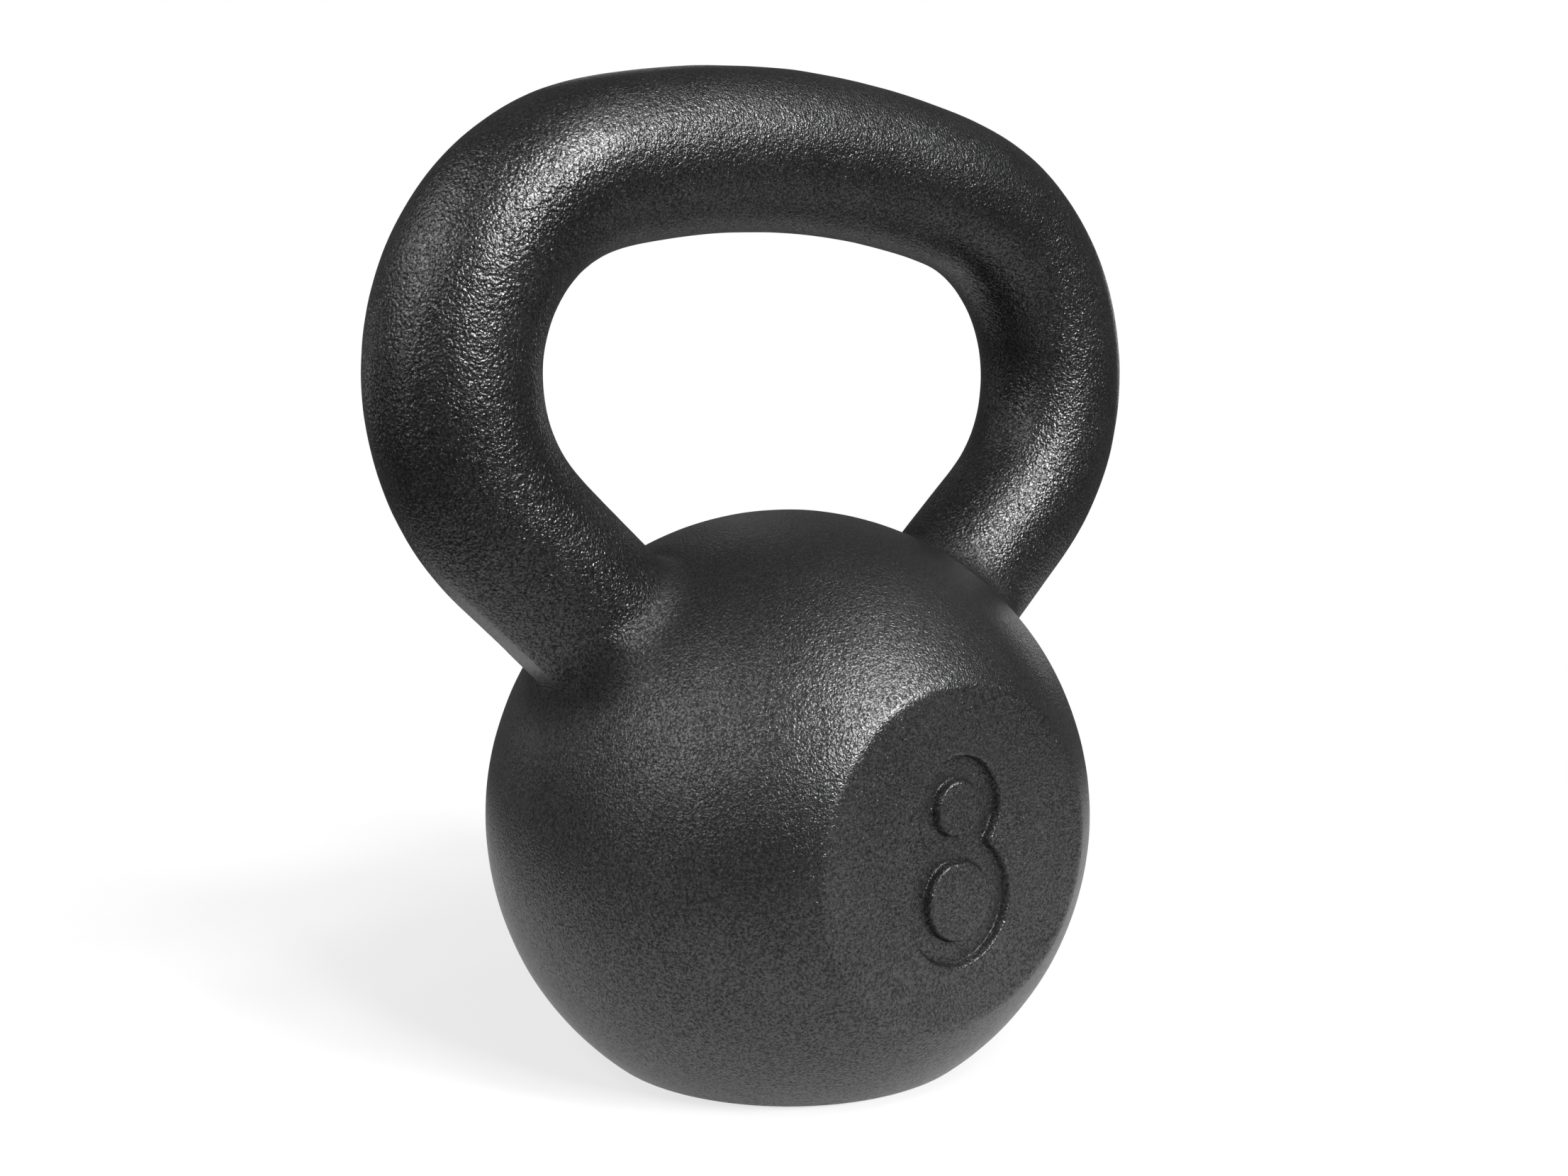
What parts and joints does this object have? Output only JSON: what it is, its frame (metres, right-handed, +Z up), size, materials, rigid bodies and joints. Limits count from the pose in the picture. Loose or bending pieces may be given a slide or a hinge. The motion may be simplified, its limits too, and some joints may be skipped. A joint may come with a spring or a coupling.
{
  "type": "kettlebell",
  "caption": "Cast iron kettlebell: a ball with a flat base and flat front and back faces, and a wide arched loop handle of round section that rises from the ball's sides.",
  "frame": {"origin": "centre of the flat base, on the surface it stands on", "axes": "+Z up, +X along the grip bar towards the right horn, -Y out of the front flat face; the handle's centre line lies in the XZ plane"},
  "size_m": [0.1766, 0.1056, 0.1937],
  "materials": {
    "coated_iron": "textured black powder coat"
  },
  "bodies": {
    "root": {"ball": "coated_iron", "left_horn": "coated_iron", "right_horn": "coated_iron", "grip_bar": "coated_iron"}
  },
  "joints": []
}
